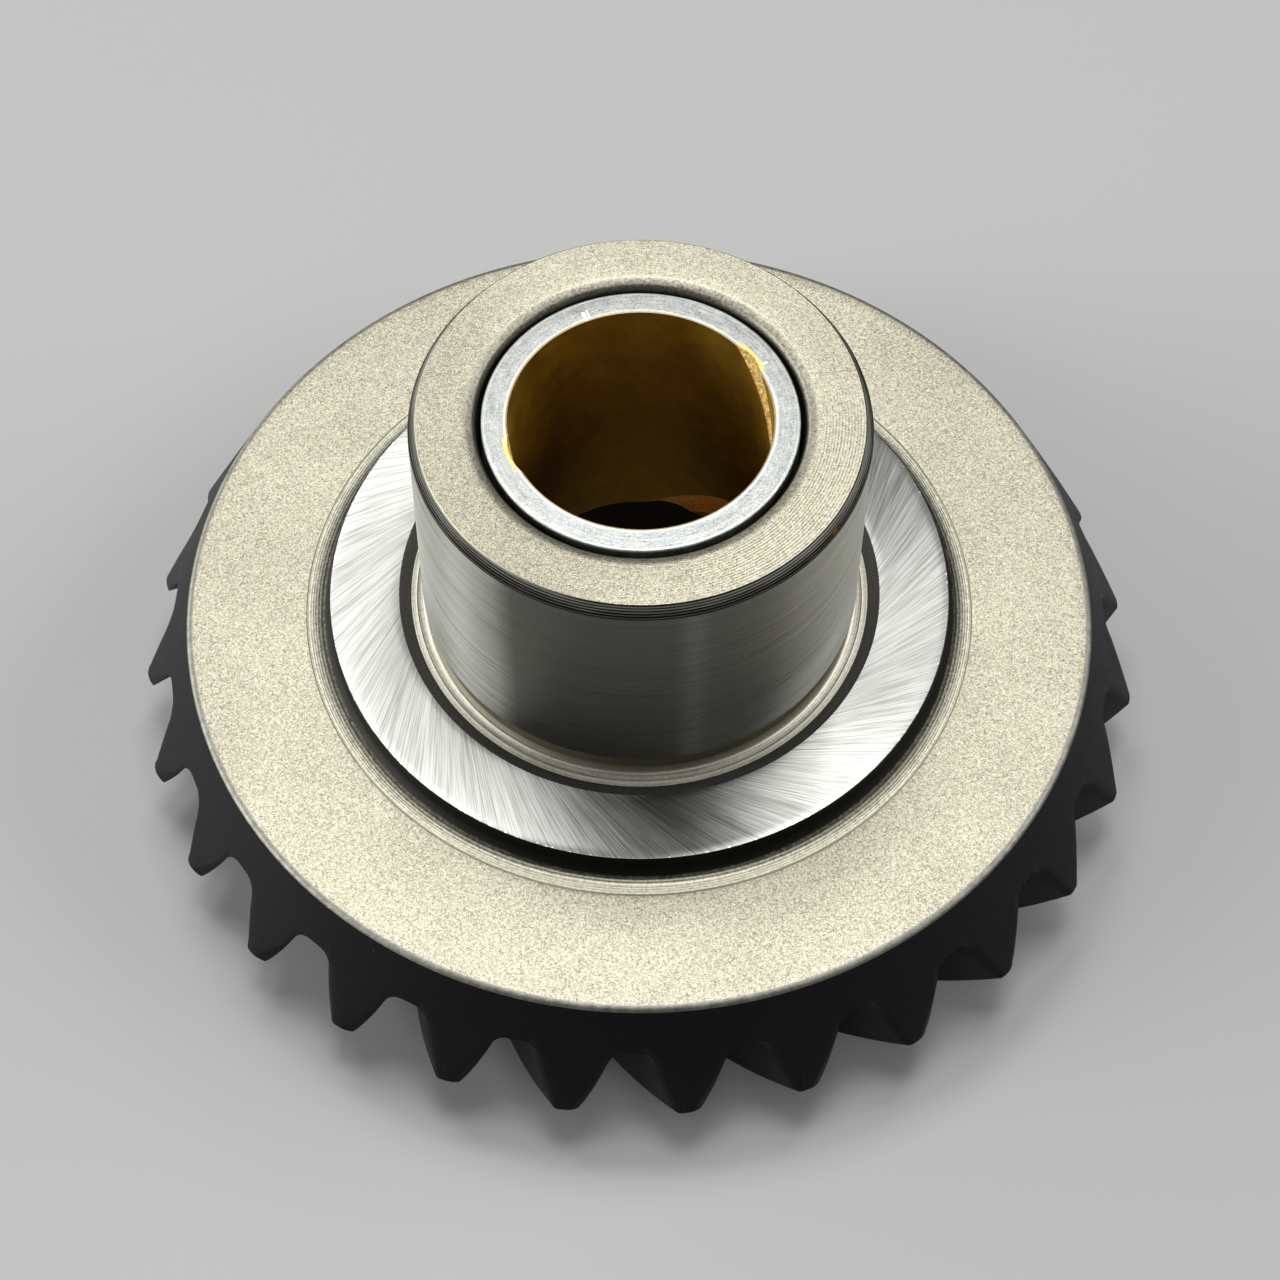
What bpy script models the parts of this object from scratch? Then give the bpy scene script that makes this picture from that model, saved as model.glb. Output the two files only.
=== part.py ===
"""Forward gear of an outboard motor's gearcase: a spiral bevel gear with its pressed-in bush.

The gear stands teeth down on its clutch jaws, with the bearing hub up. Units are metres.
The forging is turned from one profile, its tooth spaces are milled out one by one, and the
clutch jaws are left standing between slots. The bush is a steel-backed bronze tube with two
crossing oil grooves.
"""

import math

import bmesh
import bpy
from mathutils import Matrix

# Bevel gear geometry, given at the heel, the outer end of the teeth
TEETH = 27
PINION_TEETH = 13
MODULE = 0.003
ADDENDUM = 0.0019
WHOLE_DEPTH = 0.0062
TOOTH_THICKNESS = 0.0036
FACE_WIDTH = 0.013
FLANK_ANGLE = math.radians(20.0)
ROOT_FILLET = 0.0014
SPIRAL_ANGLE = math.radians(35.0)
MILLING_CUTTER_RADIUS = 0.0381
FIRST_TOOTH_AZIMUTH = math.radians(9.6)

# Back of the gear: backing above the tooth roots, edge of the rim, thrust land, foot of the hub
BACKING = 0.00413
RIM_EDGE_WIDTH = 0.0005
RIM_EDGE_DROP = 0.0002
THRUST_LAND_HEIGHT = 0.00212
THRUST_LAND_WIDTH = 0.00558
THRUST_LAND_COVE = 0.0016
FOOT_RING_WIDTH = 0.00096
FOOT_RING_DROP = 0.00037
FOOT_BEVEL_WIDTH = 0.00102

# Hub: the bearing seat, its lead-in at the free end and its grinding relief at the foot
HUB_RADIUS = 0.0175
HUB_HEIGHT = 0.02536
HUB_LEAD_WIDTH = 0.00064
HUB_LEAD_HEIGHT = 0.00109
SEAT_START = 0.0043
RELIEF_DEPTH = 0.0005
RELIEF_BLEND = 0.0005
BORE_MOUTH_BEVEL = 0.00053

# Bush
BUSH_BORE_RADIUS = 0.010
BUSH_WALL = 0.002
BUSH_LENGTH = 0.0254
BUSH_BELOW_HUB_FACE = 0.00037
BUSH_EDGE_BEVEL = 0.0002
BUSH_BORE_EDGE = 0.0001
PRESS_GAP = 0.0003
OIL_GROOVE_WIDTH = 0.002
OIL_GROOVE_DEPTH = 0.0004
RIGHT_GROOVE_MOUTH = math.radians(34.7)
RIGHT_GROOVE_SWEEP = math.radians(170.0)
LEFT_GROOVE_MOUTH = math.radians(199.5)
LEFT_GROOVE_SWEEP = math.radians(-237.0)

# Clutch side: web, recess and jaws
WEB_THICKNESS = 0.009
JAW_PROUD = 0.0005
JAWS = 6
JAW_WIDTH = 0.0088
JAW_SLOT_WIDTH = 0.0115
JAW_UNDERCUT = math.radians(4.0)
JAW_SLOT_STEP = 0.0006
JAW_EDGE_BEVEL = 0.0004
JAW_FOOT_FILLET = 0.0008
SHOULDER_WIDTH = 0.0013
SHOULDER_RUNOUT = 0.0004

# Facets
TURNED_STEPS = TEETH * 4
BUSH_STEPS = 72
TOOTH_SECTIONS = 6
FLANK_POINTS = 3
FILLET_STEPS = 3
COVE_STEPS = 3
GROOVE_POINTS = 32
CUT_MARGIN = 0.0015
SMOOTH_BELOW = math.radians(28.0)

# Pitch cone, with its tip on the axis below the teeth
PITCH_ANGLE = math.atan2(TEETH, PINION_TEETH)
SIN_PITCH = math.sin(PITCH_ANGLE)
COS_PITCH = math.cos(PITCH_ANGLE)
HEEL_DISTANCE = TEETH * MODULE / 2 / SIN_PITCH
TOE_DISTANCE = HEEL_DISTANCE - FACE_WIDTH
DEDENDUM = WHOLE_DEPTH - ADDENDUM

# Heights above the jaw ends, which the gear stands on
TOE_TIP_HEIGHT = ADDENDUM * TOE_DISTANCE / HEEL_DISTANCE
CONE_TIP_Z = JAW_PROUD - TOE_DISTANCE * COS_PITCH + TOE_TIP_HEIGHT * SIN_PITCH
RIM_EDGE_Z = CONE_TIP_Z + HEEL_DISTANCE * COS_PITCH + (DEDENDUM + BACKING) * SIN_PITCH
RIM_FACE_Z = RIM_EDGE_Z + RIM_EDGE_DROP
RECESS_FLOOR_Z = RIM_FACE_Z - WEB_THICKNESS
HUB_FACE_Z = RIM_FACE_Z + HUB_HEIGHT
THRUST_LAND_Z = RIM_FACE_Z + THRUST_LAND_HEIGHT
FOOT_RING_Z = THRUST_LAND_Z - FOOT_RING_DROP
BUSH_TOP_Z = HUB_FACE_Z - BUSH_BELOW_HUB_FACE
BUSH_BOTTOM_Z = BUSH_TOP_Z - BUSH_LENGTH
SHOULDER_Z = BUSH_BOTTOM_Z - SHOULDER_RUNOUT

# Radii that follow from the sizes above
RIM_RADIUS = HEEL_DISTANCE * SIN_PITCH - (DEDENDUM + BACKING) * COS_PITCH
BUSH_RADIUS = BUSH_BORE_RADIUS + BUSH_WALL
GEAR_BORE_RADIUS = BUSH_RADIUS + PRESS_GAP
JAW_INNER_RADIUS = GEAR_BORE_RADIUS + SHOULDER_WIDTH
JAW_OUTER_RADIUS = JAW_INNER_RADIUS + JAW_WIDTH
FOOT_RING_RADIUS = HUB_RADIUS + FOOT_RING_WIDTH
THRUST_LAND_INNER = FOOT_RING_RADIUS + FOOT_BEVEL_WIDTH
THRUST_LAND_OUTER = THRUST_LAND_INNER + THRUST_LAND_WIDTH


def clear_scene():
    for old in list(bpy.data.objects):
        bpy.data.objects.remove(old, do_unlink=True)


def new_collection(name):
    collection = bpy.data.collections.new(name)
    bpy.context.scene.collection.children.link(collection)
    return collection


def metal(name, color, roughness):
    """A Principled metal of one colour."""
    material = bpy.data.materials.new(name)
    material.use_nodes = True
    shader = material.node_tree.nodes["Principled BSDF"]
    shader.inputs["Base Color"].default_value = (*color, 1.0)
    shader.inputs["Roughness"].default_value = roughness
    shader.inputs["Metallic"].default_value = 1.0
    material.diffuse_color = (*color, 1.0)
    return material


def cone_point(distance, height):
    """Radius and z of a point on a tooth.

    distance runs along the pitch cone from its tip, and height stands square to the cone,
    away from the gear's body.
    """
    radius = distance * SIN_PITCH + height * COS_PITCH
    z = CONE_TIP_Z + distance * COS_PITCH - height * SIN_PITCH
    return radius, z


def arc(center, radius, start, end, steps):
    """Points of an arc in the profile plane, both ends included."""
    turn = (end - start) / steps
    angles = [start + turn * i for i in range(steps + 1)]
    return [(center[0] + radius * math.cos(a), center[1] + radius * math.sin(a)) for a in angles]


def turned(name, profile, steps, collection):
    """A solid of revolution, from a closed profile that runs down its outer side."""
    mesh = bpy.data.meshes.new(name)
    points = [(radius, 0.0, z) for radius, z in profile]
    edges = [(i, (i + 1) % len(points)) for i in range(len(points))]
    mesh.from_pydata(points, edges, [])
    solid = bpy.data.objects.new(name, mesh)
    collection.objects.link(solid)
    screw = solid.modifiers.new("turn", "SCREW")
    screw.axis = "Z"
    screw.angle = math.tau
    screw.steps = steps
    screw.render_steps = steps
    screw.use_merge_vertices = True
    screw.merge_threshold = 0.00001
    screw.use_normal_calculate = False
    return solid


def cutter(name, mesh, collection):
    """A tool body, hidden from renders and drawn as wire."""
    tool = bpy.data.objects.new(name, mesh)
    collection.objects.link(tool)
    tool.hide_render = True
    tool.display_type = "WIRE"
    return tool


def cut(solid, tool):
    boolean = solid.modifiers.new(tool.name, "BOOLEAN")
    boolean.operation = "DIFFERENCE"
    boolean.solver = "EXACT"
    boolean.object = tool


def evaluated_mesh(solid):
    bpy.context.view_layer.update()
    graph = bpy.context.evaluated_depsgraph_get()
    return bpy.data.meshes.new_from_object(solid.evaluated_get(graph), depsgraph=graph)


def settle(solid):
    """Makes the modifiers' result the object's own mesh, shaded smooth between sharp edges."""
    mesh = evaluated_mesh(solid)
    solid.modifiers.clear()
    mesh.name = solid.name
    solid.data = mesh
    mesh.shade_smooth()
    mesh.set_sharp_from_angle(angle=SMOOTH_BELOW)


def paint(solid, materials, chosen_slot):
    """Gives each face one of the materials, by its middle's radius and z and its normal."""
    for material in materials:
        solid.data.materials.append(material)
    for face in solid.data.polygons:
        radius = math.hypot(face.center.x, face.center.y)
        face.material_index = chosen_slot(radius, face.center.z, face.normal)


def gear_profile():
    """Closed outline of the turned blank, from the bore's mouth outwards and down."""
    relief_radius = HUB_RADIUS - RELIEF_DEPTH
    heel_tip = cone_point(HEEL_DISTANCE, ADDENDUM)
    toe_tip = cone_point(TOE_DISTANCE, TOE_TIP_HEIGHT)
    recess_radius = toe_tip[0] - (RECESS_FLOOR_Z - toe_tip[1]) * COS_PITCH / SIN_PITCH
    hub = [
        (GEAR_BORE_RADIUS, HUB_FACE_Z - BORE_MOUTH_BEVEL),
        (GEAR_BORE_RADIUS + BORE_MOUTH_BEVEL, HUB_FACE_Z),
        (HUB_RADIUS - HUB_LEAD_WIDTH, HUB_FACE_Z),
        (HUB_RADIUS, HUB_FACE_Z - HUB_LEAD_HEIGHT),
        (HUB_RADIUS, RIM_FACE_Z + SEAT_START),
        (relief_radius, RIM_FACE_Z + SEAT_START - RELIEF_BLEND),
        (relief_radius, FOOT_RING_Z + RELIEF_BLEND),
        (HUB_RADIUS, FOOT_RING_Z),
    ]
    cove_center = (THRUST_LAND_OUTER + THRUST_LAND_COVE, RIM_FACE_Z + THRUST_LAND_COVE)
    cove = arc(cove_center, THRUST_LAND_COVE, math.pi, math.pi * 1.5, COVE_STEPS)
    back = [
        (FOOT_RING_RADIUS, FOOT_RING_Z),
        (THRUST_LAND_INNER, THRUST_LAND_Z),
        (THRUST_LAND_OUTER, THRUST_LAND_Z),
        *cove,
        (RIM_RADIUS - RIM_EDGE_WIDTH, RIM_FACE_Z),
        (RIM_RADIUS, RIM_EDGE_Z),
    ]
    foot_center = (JAW_OUTER_RADIUS + JAW_FOOT_FILLET, RECESS_FLOOR_Z - JAW_FOOT_FILLET)
    foot = arc(foot_center, JAW_FOOT_FILLET, math.pi / 2, math.pi, FILLET_STEPS)
    front = [
        heel_tip,
        toe_tip,
        (recess_radius, RECESS_FLOOR_Z),
        *foot,
        (JAW_OUTER_RADIUS, JAW_EDGE_BEVEL),
        (JAW_OUTER_RADIUS - JAW_EDGE_BEVEL, 0.0),
        (JAW_INNER_RADIUS + JAW_EDGE_BEVEL, 0.0),
        (JAW_INNER_RADIUS, JAW_EDGE_BEVEL),
        (JAW_INNER_RADIUS, SHOULDER_Z),
        (GEAR_BORE_RADIUS, SHOULDER_Z),
    ]
    return hub + back + front


def spiral_lag(distance):
    """How far a tooth has turned back about the gear's axis, seen from the heel inwards.

    The tooth is an arc of the milling cutter's circle, laid on the flat crown wheel that
    the pitch cone rolls on.
    """
    middle = (HEEL_DISTANCE + TOE_DISTANCE) / 2
    lean = math.sin(SPIRAL_ANGLE)
    center = math.sqrt(
        middle**2 + MILLING_CUTTER_RADIUS**2 - 2 * middle * MILLING_CUTTER_RADIUS * lean
    )

    def crown_angle(at):
        rise = at**2 + center**2 - MILLING_CUTTER_RADIUS**2
        return math.acos(rise / (2 * at * center))

    return (crown_angle(distance) - crown_angle(HEEL_DISTANCE)) / SIN_PITCH


def half_space(height):
    """Half the width of a tooth space at a height over the pitch cone, as an angle.

    The tooth is the involute tooth of the round gear that the heel's back cone unrolls to.
    """
    unrolled = HEEL_DISTANCE * SIN_PITCH / COS_PITCH
    base = unrolled * math.cos(FLANK_ANGLE)
    radius = max(unrolled + height, base * 1.0001)
    pressure = math.acos(base / radius)
    involute = math.tan(pressure) - pressure
    at_pitch = math.tan(FLANK_ANGLE) - FLANK_ANGLE
    half_tooth = TOOTH_THICKNESS / (2 * unrolled) + at_pitch - involute
    return math.pi / TEETH - half_tooth / COS_PITCH


def space_outline():
    """One tooth space at the heel: (angle, height) points from one tip over the root."""
    top = ADDENDUM + CUT_MARGIN
    root_radius = cone_point(HEEL_DISTANCE, -DEDENDUM)[0]

    def width(height):
        return half_space(height) * root_radius

    step = 0.0001
    touch = ROOT_FILLET - DEDENDUM
    for _ in range(8):
        slope = (width(touch + step) - width(touch - step)) / (2 * step)
        touch = ROOT_FILLET - DEDENDUM - ROOT_FILLET * slope / math.hypot(1, slope)
    fillet = min(ROOT_FILLET, width(touch) * math.cos(math.atan(slope)))
    center = (width(touch) - fillet / math.hypot(1, slope), fillet - DEDENDUM)
    bottom = arc(center, fillet, math.atan(slope) * -1, -math.pi / 2, FILLET_STEPS)
    rise = (top - touch) / FLANK_POINTS
    flank = [(width(top - rise * i), top - rise * i) for i in range(FLANK_POINTS)]
    half = [(across / root_radius, height) for across, height in flank + bottom]
    return half + [(-angle, height) for angle, height in reversed(half)]


def tooth_spaces_mesh():
    """Every tooth space as one closed loft along the spiral, from past the toe to past the heel."""
    outline = space_outline()
    start = TOE_DISTANCE - CUT_MARGIN
    stride = (FACE_WIDTH + 2 * CUT_MARGIN) / (TOOTH_SECTIONS - 1)
    shape = bmesh.new()
    for tooth in range(TEETH):
        azimuth = FIRST_TOOTH_AZIMUTH + (tooth + 0.5) * math.tau / TEETH
        rings = []
        for section in range(TOOTH_SECTIONS):
            distance = start + stride * section
            size = distance / HEEL_DISTANCE
            ring = []
            for angle, height in outline:
                radius, z = cone_point(distance, height * size)
                turn = azimuth + angle - spiral_lag(distance)
                ring.append(shape.verts.new((radius * math.cos(turn), radius * math.sin(turn), z)))
            rings.append(ring)
        for inner, outer in zip(rings, rings[1:]):
            for i in range(len(outline)):
                j = (i + 1) % len(outline)
                shape.faces.new((inner[i], inner[j], outer[j], outer[i]))
        shape.faces.new(rings[0])
        shape.faces.new(rings[-1])
    bmesh.ops.recalc_face_normals(shape, faces=shape.faces)
    mesh = bpy.data.meshes.new("tooth_spaces")
    shape.to_mesh(mesh)
    shape.free()
    return mesh


def jaw_slots_mesh():
    """The slots between the clutch jaws, wider at their floor so that the jaws pull in.

    They stop just short of the recess floor, which leaves the jaws on a low ring.
    """
    inner = JAW_INNER_RADIUS - CUT_MARGIN
    outer = JAW_OUTER_RADIUS + CUT_MARGIN
    bottom = -CUT_MARGIN
    floor = RECESS_FLOOR_Z - JAW_SLOT_STEP
    shape = bmesh.new()
    for jaw in range(JAWS):
        block = bmesh.ops.create_cube(shape, size=1.0)["verts"]
        for vert in block:
            z = floor if vert.co.z > 0 else bottom
            half = JAW_SLOT_WIDTH / 2 + z * math.tan(JAW_UNDERCUT)
            across = half if vert.co.y > 0 else -half
            vert.co = (outer if vert.co.x > 0 else inner, across, z)
        bmesh.ops.rotate(
            shape, verts=block, matrix=Matrix.Rotation(math.tau * jaw / JAWS, 3, "Z")
        )
    mesh = bpy.data.meshes.new("jaw_slots")
    shape.to_mesh(mesh)
    shape.free()
    return mesh


def make_gear(parts, cutters):
    gear = turned("gear", gear_profile(), TURNED_STEPS, parts)
    cut(gear, cutter("tooth_spaces", tooth_spaces_mesh(), cutters))
    cut(gear, cutter("jaw_slots", jaw_slots_mesh(), cutters))
    settle(gear)
    blasted = metal("blasted steel", (0.52, 0.50, 0.46), 0.55)
    ground = metal("ground steel", (0.66, 0.66, 0.66), 0.22)
    blackened = metal("blackened steel", (0.035, 0.035, 0.038), 0.5)
    edge = 0.00001

    def slot(radius, z, normal):
        seat = abs(radius - HUB_RADIUS) < 0.0001 and z > RIM_FACE_Z + SEAT_START
        land = normal.z > 0.99 and abs(z - THRUST_LAND_Z) < edge
        if seat or land:
            return 1
        return 2 if z < RIM_EDGE_Z - edge and radius > JAW_OUTER_RADIUS else 0

    paint(gear, (blasted, ground, blackened), slot)


def groove_tool(name, mouth, sweep, cutters):
    """A round bar bent along a helix, which mills one oil groove into the bush's bore.

    mouth is the groove's azimuth at the bush's top, and sweep is how far it turns back from
    there on its way down.
    """
    half = OIL_GROOVE_WIDTH / 2
    bar = (half**2 + OIL_GROOVE_DEPTH**2) / (2 * OIL_GROOVE_DEPTH)
    path_radius = BUSH_BORE_RADIUS + OIL_GROOVE_DEPTH - bar
    overrun = OIL_GROOVE_WIDTH
    low = BUSH_BOTTOM_Z - overrun
    rise = BUSH_LENGTH + 2 * overrun
    curve = bpy.data.curves.new(name, "CURVE")
    curve.dimensions = "3D"
    curve.bevel_depth = bar
    curve.bevel_resolution = 4
    curve.use_fill_caps = True
    spline = curve.splines.new("POLY")
    spline.points.add(GROOVE_POINTS - 1)
    for i, point in enumerate(spline.points):
        share = i / (GROOVE_POINTS - 1)
        z = low + rise * share
        turn = mouth - sweep * (BUSH_TOP_Z - z) / BUSH_LENGTH
        point.co = (path_radius * math.cos(turn), path_radius * math.sin(turn), z, 1.0)
    bar_object = bpy.data.objects.new(name + "_bar", curve)
    cutters.objects.link(bar_object)
    mesh = evaluated_mesh(bar_object)
    shape = bmesh.new()
    shape.from_mesh(mesh)
    bmesh.ops.remove_doubles(shape, verts=shape.verts, dist=0.000001)
    bmesh.ops.recalc_face_normals(shape, faces=shape.faces)
    shape.to_mesh(mesh)
    shape.free()
    bpy.data.objects.remove(bar_object, do_unlink=True)
    return cutter(name, mesh, cutters)


def make_bush(parts, cutters):
    inner = BUSH_BORE_RADIUS
    outer = BUSH_RADIUS
    top = BUSH_TOP_Z
    low = BUSH_BOTTOM_Z
    profile = [
        (inner, top - BUSH_BORE_EDGE),
        (inner + BUSH_BORE_EDGE, top),
        (outer - BUSH_EDGE_BEVEL, top),
        (outer, top - BUSH_EDGE_BEVEL),
        (outer, low + BUSH_EDGE_BEVEL),
        (outer - BUSH_EDGE_BEVEL, low),
        (inner + BUSH_BORE_EDGE, low),
        (inner, low + BUSH_BORE_EDGE),
    ]
    bush = turned("bush", profile, BUSH_STEPS, parts)
    right = groove_tool("oil_groove_right", RIGHT_GROOVE_MOUTH, RIGHT_GROOVE_SWEEP, cutters)
    left = groove_tool("oil_groove_left", LEFT_GROOVE_MOUTH, LEFT_GROOVE_SWEEP, cutters)
    cut(bush, right)
    cut(bush, left)
    settle(bush)
    bronze = metal("bronze lining", (0.55, 0.36, 0.10), 0.3)
    backing = metal("bush steel", (0.72, 0.73, 0.74), 0.28)

    def slot(radius, z, normal):
        return 1 if abs(normal.z) > 0.9 or radius > inner + OIL_GROOVE_DEPTH + 0.0002 else 0

    paint(bush, (bronze, backing), slot)


def main():
    clear_scene()
    parts = new_collection("forward_gear")
    cutters = new_collection("cutters")
    make_gear(parts, cutters)
    make_bush(parts, cutters)


main()
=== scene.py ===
# %% [markdown]
# A forward gear on a pale table.
#
# The gear is one steel forging: spiral teeth round the edge, a ground ring and a ground bearing
# hub above them, and a steel-backed bronze bush in the bore. The packed model already has the
# true form, in flat facets. This lesson wears the same form with a finer skin and gives every
# surface the finish that its last tool left on it: blasted, ground, turned or blackened. Some
# light and shade is also painted into the colours of these finishes.

# %% Start from the packed model
import math

import bmesh
import bpy
import numpy as np
from mathutils import Matrix, Vector


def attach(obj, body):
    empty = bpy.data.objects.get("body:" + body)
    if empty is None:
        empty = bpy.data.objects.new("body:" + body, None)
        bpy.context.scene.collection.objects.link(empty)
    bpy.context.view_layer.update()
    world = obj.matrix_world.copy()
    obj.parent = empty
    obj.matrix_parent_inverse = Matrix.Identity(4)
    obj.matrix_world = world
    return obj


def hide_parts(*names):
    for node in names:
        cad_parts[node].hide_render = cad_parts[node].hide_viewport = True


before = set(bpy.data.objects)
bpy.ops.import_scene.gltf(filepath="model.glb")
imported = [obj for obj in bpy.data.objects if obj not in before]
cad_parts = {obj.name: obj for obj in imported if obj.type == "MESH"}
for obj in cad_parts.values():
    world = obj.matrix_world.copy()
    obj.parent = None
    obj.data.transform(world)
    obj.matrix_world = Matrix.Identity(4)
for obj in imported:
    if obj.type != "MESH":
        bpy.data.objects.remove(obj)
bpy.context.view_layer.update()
MM = 0.001

# %% [markdown]
# The camera comes first, because every decision about detail depends on what it sees. It is a
# moderate telephoto that looks down at 58 degrees from close by. A camera in Blender looks along
# its own -Z, so it is tipped up from straight down, then rolled a little about its own axis.

# %% Camera
RIM_FACE_Z = 15.152 * MM
RIM_RADIUS = 36.84 * MM
CAMERA_LENS = 86.17
CAMERA_LOOKS_DOWN = math.radians(57.868)
CAMERA_ROLL = math.radians(0.477)
CAMERA_PLACE = Vector((0.0021, -3.6903, 5.7076)) * RIM_RADIUS

scene = bpy.context.scene
camera_data = bpy.data.cameras.new("camera")
camera_data.lens = CAMERA_LENS
camera_data.sensor_width = 36
camera = bpy.data.objects.new("camera", camera_data)
scene.collection.objects.link(camera)
camera.matrix_world = (
    Matrix.Translation(CAMERA_PLACE + Vector((0, 0, RIM_FACE_Z)))
    @ Matrix.Rotation(math.pi / 2 - CAMERA_LOOKS_DOWN, 4, "X")
    @ Matrix.Rotation(CAMERA_ROLL, 4, "Z")
)
scene.camera = camera
print("camera at", [round(v, 4) for v in camera.matrix_world.translation])

# %% [markdown]
# Spiral bevel teeth are easiest to describe on cones. Every cross-section of a tooth is the same
# outline, only smaller towards the cone's tip, and it turns a little with each step inwards. So
# one outline, worked out once at the outer end, makes the whole tooth.

# %% Sizes of the teeth
TEETH = 27
PITCH_ANGLE = math.atan2(TEETH, 13)
SIN_PITCH = math.sin(PITCH_ANGLE)
COS_PITCH = math.cos(PITCH_ANGLE)
MODULE = 3.0 * MM
HEEL = TEETH * MODULE / 2 / SIN_PITCH
TOE = HEEL - 13.0 * MM
ADDENDUM = 1.9 * MM
DEDENDUM = 4.3 * MM
TOOTH_THICKNESS = 3.6 * MM
FLANK_ANGLE = math.radians(20)
ROOT_FILLET = 1.4 * MM
SPIRAL_ANGLE = math.radians(35)
MILLING_CUTTER_RADIUS = 38.1 * MM
FIRST_TOOTH = math.radians(9.6)
PITCH_RADIUS = HEEL * SIN_PITCH
CONE_TIP_Z = -12.1436 * MM


def cone_point(distance, height):
    """Radius and z of a point at a distance along the pitch cone and a height square to it."""
    radius = distance * SIN_PITCH + height * COS_PITCH
    return radius, CONE_TIP_Z + distance * COS_PITCH - height * SIN_PITCH


def spiral_lag(distance):
    """How far the tooth has turned back at a distance, along the milling cutter's circle."""
    middle = (HEEL + TOE) / 2
    cutter = MILLING_CUTTER_RADIUS
    reach = np.sqrt(middle**2 + cutter**2 - 2 * middle * cutter * math.sin(SPIRAL_ANGLE))

    def crown(at):
        return np.arccos((at**2 + reach**2 - cutter**2) / (2 * at * reach))

    return (crown(distance) - crown(HEEL)) / SIN_PITCH


print("heel tip at radius, z:", [round(v / MM, 3) for v in cone_point(HEEL, ADDENDUM)])
print("the tooth turns back by", round(math.degrees(spiral_lag(TOE)), 2), "degrees")

# %% [markdown]
# The outline of one tooth is an involute flank between a flat top with broken corners and a round
# root. It is listed from the middle of the tooth to the middle of the space, as an angle about
# the gear's axis and a height over the pitch cone, and the other half is its mirror image.

# %% Outline of one tooth
LAND_STEPS, CORNER_STEPS, FLANK_STEPS, FILLET_STEPS, ROOT_STEPS = 2, 3, 9, 6, 2
TIP_CORNER = 0.22 * MM


def half_space(height):
    """Half the angle of a tooth space at a height over the pitch cone."""
    unrolled = PITCH_RADIUS / COS_PITCH
    base = unrolled * math.cos(FLANK_ANGLE)
    pressure = math.acos(base / max(unrolled + height, base * 1.0001))
    involute = math.tan(pressure) - pressure
    at_pitch = math.tan(FLANK_ANGLE) - FLANK_ANGLE
    half_tooth = TOOTH_THICKNESS / (2 * unrolled) + at_pitch - involute
    return math.pi / TEETH - half_tooth / COS_PITCH


def half_outline():
    """(angle from the tooth's middle, height) points, from the tooth's middle to the space's."""
    root_radius = cone_point(HEEL, -DEDENDUM)[0]

    def width(height):
        return half_space(height) * root_radius

    touch = ROOT_FILLET - DEDENDUM
    for _ in range(8):
        slope = (width(touch + 1e-4) - width(touch - 1e-4)) / 2e-4
        touch = ROOT_FILLET - DEDENDUM - ROOT_FILLET * slope / math.hypot(1, slope)
    fillet = min(ROOT_FILLET, width(touch) * math.cos(math.atan(slope)))
    center = (width(touch) - fillet / math.hypot(1, slope), fillet - DEDENDUM)

    corner = math.pi / TEETH - half_space(ADDENDUM)
    broken = TIP_CORNER / PITCH_RADIUS
    points = [((corner - broken) * i / LAND_STEPS, ADDENDUM) for i in range(LAND_STEPS)]
    below = math.pi / TEETH - half_space(ADDENDUM - TIP_CORNER)
    for i in range(CORNER_STEPS):
        t = i / CORNER_STEPS
        angle = (1 - t) ** 2 * (corner - broken) + 2 * t * (1 - t) * corner + t**2 * below
        points.append((angle, ADDENDUM - t**2 * TIP_CORNER))
    for i in range(FLANK_STEPS):
        height = ADDENDUM - TIP_CORNER + (touch - ADDENDUM + TIP_CORNER) * i / FLANK_STEPS
        points.append((math.pi / TEETH - half_space(height), height))
    start = -math.atan(slope)
    for i in range(FILLET_STEPS + 1):
        turn = start + (-math.pi / 2 - start) * i / FILLET_STEPS
        across = center[0] + fillet * math.cos(turn)
        height = center[1] + fillet * math.sin(turn)
        points.append((math.pi / TEETH - across / root_radius, height))
    last = points[-1][0]
    for i in range(1, ROOT_STEPS + 1):
        share = i / ROOT_STEPS
        points.append((last + (math.pi / TEETH - last) * share, -DEDENDUM))
    return points


half = half_outline()
outline = np.array([(-a, h) for a, h in reversed(half[1:])] + half[:-1])
PER_TOOTH = len(outline)
COLUMNS = PER_TOOTH * TEETH
side = outline[:, 0] * PITCH_RADIUS
height = outline[:, 1]
print(PER_TOOTH, "points a tooth,", COLUMNS, "columns in all")

# %% [markdown]
# The outer ends of the teeth are not sharp. The blunt edge of each tooth has a narrow bright
# break along it, and the sharp edge has been ground off in a long facet that starts at the
# root and is widest at the tip. Both are made by moving the outline of the outer face inwards and
# letting the tooth's side stop a little short of it, with a curve between the two.

# %% Broken edges at the outer ends
tip_half = (math.pi / TEETH - half_space(ADDENDUM)) * PITCH_RADIUS
BLUNT_BREAK = 0.42 * MM
TIP_BREAK = 0.15 * MM
TIP_STRIP = 0.3 * MM
FACET_DEPTH = 0.5 * MM
FACET_STARTS_AT = -3.0 * MM
SMALL_BREAK = 0.05 * MM


def ramp(value, painted_glint_low, high):
    """0 below low, 1 above high, with a soft run between."""
    share = np.clip((value - painted_glint_low) / (high - painted_glint_low), 0, 1)
    return share * share * (3 - 2 * share)


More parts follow.
